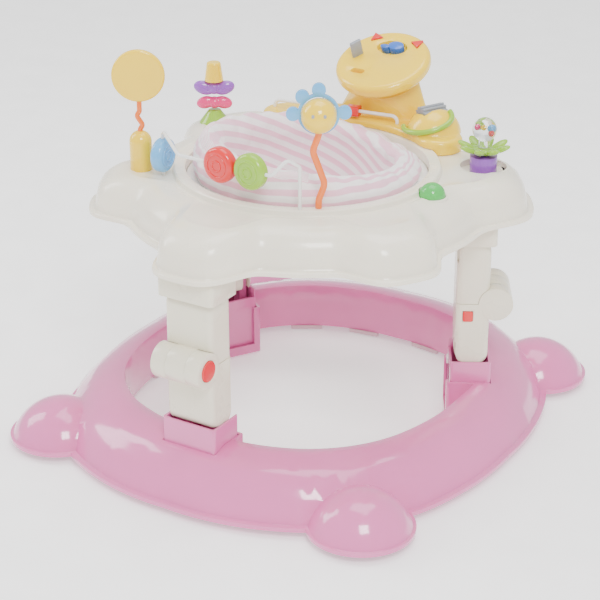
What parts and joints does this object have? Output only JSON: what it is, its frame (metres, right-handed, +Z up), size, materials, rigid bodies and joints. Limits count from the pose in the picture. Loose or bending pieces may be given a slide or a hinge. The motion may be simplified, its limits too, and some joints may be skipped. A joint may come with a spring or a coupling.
{
  "type": "baby walker",
  "caption": "Baby walker: pink base ring on swivel casters, folding legs, scalloped play tray and a swivelling cloth seat.",
  "frame": {"origin": "on the floor under the middle of the base ring", "axes": "+Z up, +Y forward (the way the child faces), +X to the child's right"},
  "size_m": [0.6526, 0.717, 0.548],
  "materials": {
    "pink_base": "glossy moulded",
    "pad": "translucent soft",
    "caster_frame": "moulded",
    "caster_tread": "satin",
    "white": "glossy moulded",
    "cream": "satin moulded",
    "ivory": "glossy moulded",
    "steel": "plain",
    "red": "glossy moulded",
    "cloth": "woven stripes, gathered",
    "yellow": "glossy moulded",
    "lime": "glossy moulded",
    "grey": "satin",
    "blue": "glossy moulded",
    "light_blue": "glossy moulded",
    "orange": "glossy moulded",
    "purple": "glossy moulded",
    "hot_pink": "glossy moulded",
    "clear": "clear plastic",
    "green_clear": "tinted clear plastic"
  },
  "bodies": {
    "base": {"base_ring": "pink_base", "stopper_pads": "pad"},
    "swivel_rear_right": {"caster_fork_rear_right": "caster_frame"},
    "wheel_rear_right": {"caster_wheel_rear_right": "caster_tread"},
    "swivel_rear_left": {"caster_fork_rear_left": "caster_frame"},
    "wheel_rear_left": {"caster_wheel_rear_left": "caster_tread"},
    "swivel_front_right": {"caster_fork_front_right": "caster_frame"},
    "wheel_front_right": {"caster_wheel_front_right": "caster_tread"},
    "swivel_front_left": {"caster_fork_front_left": "caster_frame"},
    "wheel_front_left": {"caster_wheel_front_left": "caster_tread"},
    "socket_rear": {"leg_socket_rear": "pink_base"},
    "pin_rear": {"height_pin_rear": "white"},
    "lower_rear": {"lower_leg_rear": "cream", "leg_pins_rear": "steel"},
    "upper_rear": {"upper_leg_rear": "cream"},
    "button_rear": {"lock_button_rear": "red"},
    "socket_right": {"leg_socket_right": "pink_base"},
    "pin_right": {"height_pin_right": "white"},
    "lower_right": {"lower_leg_right": "cream", "leg_pins_right": "steel"},
    "upper_right": {"upper_leg_right": "cream"},
    "button_right": {"lock_button_right": "red"},
    "socket_left": {"leg_socket_left": "pink_base"},
    "pin_left": {"height_pin_left": "white"},
    "lower_left": {"lower_leg_left": "cream", "leg_pins_left": "steel"},
    "upper_left": {"upper_leg_left": "cream"},
    "button_left": {"lock_button_left": "red"},
    "tray": {"top_brackets": "cream", "tray": "ivory", "console": "yellow", "console_swoosh": "lime", "play_bar": "white", "bead_wire": "white", "paddle_stem": "orange", "paddle_base": "yellow", "head_stem": "orange"},
    "seat": {"seat_ring": "white", "seat_cloth": "cloth"},
    "wheel": {"steering_wheel": "yellow", "wheel_bird": "blue", "wheel_mirror": "grey"},
    "horn": {"horn_buttons": "red"},
    "roller_right": {"roller_right": "grey"},
    "roller_left": {"roller_left": "grey"},
    "bar_bead": {"bar_bead": "red"},
    "bead_blue": {"bead_blue": "light_blue"},
    "bead_red": {"bead_red": "red"},
    "bead_green": {"bead_green": "lime"},
    "paddle": {"paddle_disc": "yellow"},
    "head": {"head_ball": "yellow", "head_petals": "light_blue"},
    "butterfly": {"butterfly_base": "lime", "butterfly_wings_pink": "hot_pink", "butterfly_wings_purple": "purple", "butterfly_bud": "yellow"},
    "flower": {"flower_post": "purple", "flower_petals": "lime", "flower_ball": "clear"},
    "dome": {"dome_button": "green_clear"}
  },
  "joints": [
    {"name": "swivel_rear_right", "type": "hinge", "parent": "base", "child": "swivel_rear_right", "pos_m": [0.245, -0.265, 0.05], "axis": [0, 0, 1], "continuous": true},
    {"name": "roll_rear_right", "type": "hinge", "parent": "swivel_rear_right", "child": "wheel_rear_right", "pos_m": [0.245, -0.276, 0.02], "axis": [1, 0, 0], "continuous": true},
    {"name": "swivel_rear_left", "type": "hinge", "parent": "base", "child": "swivel_rear_left", "pos_m": [-0.245, -0.265, 0.05], "axis": [0, 0, 1], "continuous": true},
    {"name": "roll_rear_left", "type": "hinge", "parent": "swivel_rear_left", "child": "wheel_rear_left", "pos_m": [-0.245, -0.276, 0.02], "axis": [1, 0, 0], "continuous": true},
    {"name": "swivel_front_right", "type": "hinge", "parent": "base", "child": "swivel_front_right", "pos_m": [0.245, 0.265, 0.05], "axis": [0, 0, 1], "continuous": true},
    {"name": "roll_front_right", "type": "hinge", "parent": "swivel_front_right", "child": "wheel_front_right", "pos_m": [0.245, 0.254, 0.02], "axis": [1, 0, 0], "continuous": true},
    {"name": "swivel_front_left", "type": "hinge", "parent": "base", "child": "swivel_front_left", "pos_m": [-0.245, 0.265, 0.05], "axis": [0, 0, 1], "continuous": true},
    {"name": "roll_front_left", "type": "hinge", "parent": "swivel_front_left", "child": "wheel_front_left", "pos_m": [-0.245, 0.254, 0.02], "axis": [1, 0, 0], "continuous": true},
    {"name": "height_rear", "type": "slide", "parent": "base", "child": "socket_rear", "axis": [0, 0, 1], "range_m": [0, 0.042]},
    {"name": "height_pin_rear", "type": "slide", "parent": "socket_rear", "child": "pin_rear", "axis": [0, 1, 0], "range_m": [0, 0.004], "stiffness_N_per_m": 300},
    {"name": "lower_rear", "type": "hinge", "parent": "socket_rear", "child": "lower_rear", "pos_m": [0, -0.27, 0.1205], "axis": [-1, 0, 0], "range_deg": [0, 90]},
    {"name": "knee_rear", "type": "hinge", "parent": "lower_rear", "child": "upper_rear", "pos_m": [0, -0.302, 0.196], "axis": [-1, 0, 0], "range_deg": [-180, 0]},
    {"name": "button_rear", "type": "slide", "parent": "lower_rear", "child": "button_rear", "axis": [-1, 0, 0], "range_m": [0, 0.003], "stiffness_N_per_m": 400},
    {"name": "height_right", "type": "slide", "parent": "base", "child": "socket_right", "axis": [0, 0, 1], "range_m": [0, 0.042]},
    {"name": "height_pin_right", "type": "slide", "parent": "socket_right", "child": "pin_right", "axis": [-0.866, -0.5, 0], "range_m": [0, 0.004], "stiffness_N_per_m": 300},
    {"name": "lower_right", "type": "hinge", "parent": "socket_right", "child": "lower_right", "pos_m": [0.21218, 0.0975, 0.1205], "axis": [0.5, -0.866, 0], "range_deg": [0, 90]},
    {"name": "knee_right", "type": "hinge", "parent": "lower_right", "child": "upper_right", "pos_m": [0.23989, 0.1135, 0.196], "axis": [0.5, -0.866, 0], "range_deg": [-180, 0]},
    {"name": "button_right", "type": "slide", "parent": "lower_right", "child": "button_right", "axis": [-0.5, 0.866, 0], "range_m": [0, 0.003], "stiffness_N_per_m": 400},
    {"name": "height_left", "type": "slide", "parent": "base", "child": "socket_left", "axis": [0, 0, 1], "range_m": [0, 0.042]},
    {"name": "height_pin_left", "type": "slide", "parent": "socket_left", "child": "pin_left", "axis": [0.866, -0.5, 0], "range_m": [0, 0.004], "stiffness_N_per_m": 300},
    {"name": "lower_left", "type": "hinge", "parent": "socket_left", "child": "lower_left", "pos_m": [-0.21218, 0.0975, 0.1205], "axis": [0.5, 0.866, 0], "range_deg": [0, 90]},
    {"name": "knee_left", "type": "hinge", "parent": "lower_left", "child": "upper_left", "pos_m": [-0.23989, 0.1135, 0.196], "axis": [0.5, 0.866, 0], "range_deg": [-180, 0]},
    {"name": "button_left", "type": "slide", "parent": "lower_left", "child": "button_left", "axis": [0.5, 0.866, 0], "range_m": [0, 0.003], "stiffness_N_per_m": 400},
    {"name": "tray_tilt", "type": "hinge", "parent": "upper_rear", "child": "tray", "pos_m": [0, -0.27, 0.2715], "axis": [-1, 0, 0], "range_deg": [0, 90]},
    {"name": "seat_swivel", "type": "hinge", "parent": "tray", "child": "seat", "pos_m": [0, 0, 0.357], "axis": [0, 0, 1], "continuous": true},
    {"name": "steering", "type": "hinge", "parent": "tray", "child": "wheel", "pos_m": [0, 0.211, 0.467], "axis": [0, -0.3746, 0.9272], "range_deg": [-45, 45]},
    {"name": "horn_press", "type": "slide", "parent": "wheel", "child": "horn", "axis": [0, 0.3746, -0.9272], "range_m": [0, 0.003], "stiffness_N_per_m": 300},
    {"name": "roller_right", "type": "hinge", "parent": "tray", "child": "roller_right", "pos_m": [0.09127, 0.19135, 0.417], "axis": [0.4305, 0.9026, 0], "continuous": true},
    {"name": "roller_left", "type": "hinge", "parent": "tray", "child": "roller_left", "pos_m": [-0.08833, 0.19382, 0.392], "axis": [-0.4147, 0.91, 0], "continuous": true},
    {"name": "bar_bead_slide", "type": "slide", "parent": "tray", "child": "bar_bead", "axis": [0.9918, 0.1278, 0], "range_m": [-0.05, 0.015]},
    {"name": "bead_blue_spin", "type": "hinge", "parent": "tray", "child": "bead_blue", "pos_m": [-0.1535, -0.1266, 0.403], "axis": [0, 0, 1], "continuous": true},
    {"name": "bead_red_spin", "type": "hinge", "parent": "tray", "child": "bead_red", "pos_m": [-0.0237, -0.17752, 0.42884], "axis": [0.9967, -0.0772, 0.0257], "continuous": true},
    {"name": "bead_green_spin", "type": "hinge", "parent": "tray", "child": "bead_green", "pos_m": [0.02668, -0.18142, 0.43014], "axis": [0.9967, -0.0772, 0.0257], "continuous": true},
    {"name": "paddle_spin", "type": "hinge", "parent": "tray", "child": "paddle", "pos_m": [-0.1936, -0.1235, 0.508], "axis": [0, 0, 1], "continuous": true},
    {"name": "head_spin", "type": "hinge", "parent": "tray", "child": "head", "pos_m": [0.104, -0.14, 0.507], "axis": [0, 0, 1], "continuous": true},
    {"name": "butterfly_spin", "type": "hinge", "parent": "tray", "child": "butterfly", "pos_m": [-0.224, 0.1, 0.4], "axis": [0, 0, 1], "continuous": true},
    {"name": "flower_spin", "type": "hinge", "parent": "tray", "child": "flower", "pos_m": [0.203, 0.137, 0.4], "axis": [0, 0, 1], "continuous": true},
    {"name": "dome_press", "type": "slide", "parent": "tray", "child": "dome", "axis": [0, 0, -1], "range_m": [0, 0.003], "stiffness_N_per_m": 300}
  ],
  "couplings": [
    {"joint": "height_right", "follows": "height_rear", "ratio": 1},
    {"joint": "lower_right", "follows": "lower_rear", "ratio": 1},
    {"joint": "height_left", "follows": "height_rear", "ratio": 1},
    {"joint": "lower_left", "follows": "lower_rear", "ratio": 1},
    {"joint": "knee_rear", "follows": "lower_rear", "ratio": -2},
    {"joint": "knee_right", "follows": "lower_rear", "ratio": -2},
    {"joint": "knee_left", "follows": "lower_rear", "ratio": -2},
    {"joint": "tray_tilt", "follows": "lower_rear", "ratio": 1}
  ]
}
